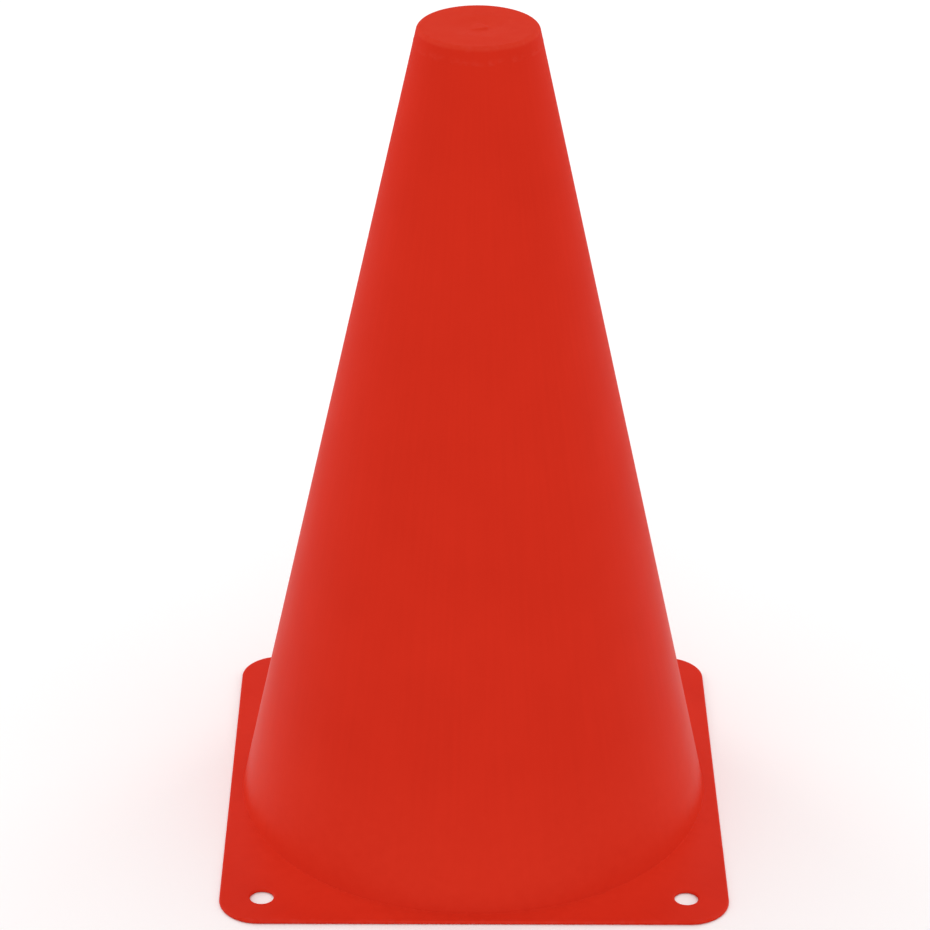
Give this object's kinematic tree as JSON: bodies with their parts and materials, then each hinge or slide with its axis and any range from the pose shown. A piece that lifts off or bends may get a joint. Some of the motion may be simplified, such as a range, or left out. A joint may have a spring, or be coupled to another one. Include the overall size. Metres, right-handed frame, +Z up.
{
  "type": "traffic cone",
  "caption": "Small red plastic marker cone: thin hollow tapered wall on a square flange with peg holes in its corners, a closed flat top, and open below so that cones nest.",
  "frame": {"origin": "centre of the square base, on the ground plane under the flange", "axes": "+Z up along the cone's axis; X and Y along the sides of the square base, -Y towards the viewer of the picture"},
  "size_m": [0.138, 0.138, 0.2295],
  "materials": {
    "red_plastic": "satin red polyethylene, coloured through"
  },
  "bodies": {
    "root": {"base_flange": "red_plastic", "cone_wall": "red_plastic", "top_cap": "red_plastic"}
  },
  "joints": []
}
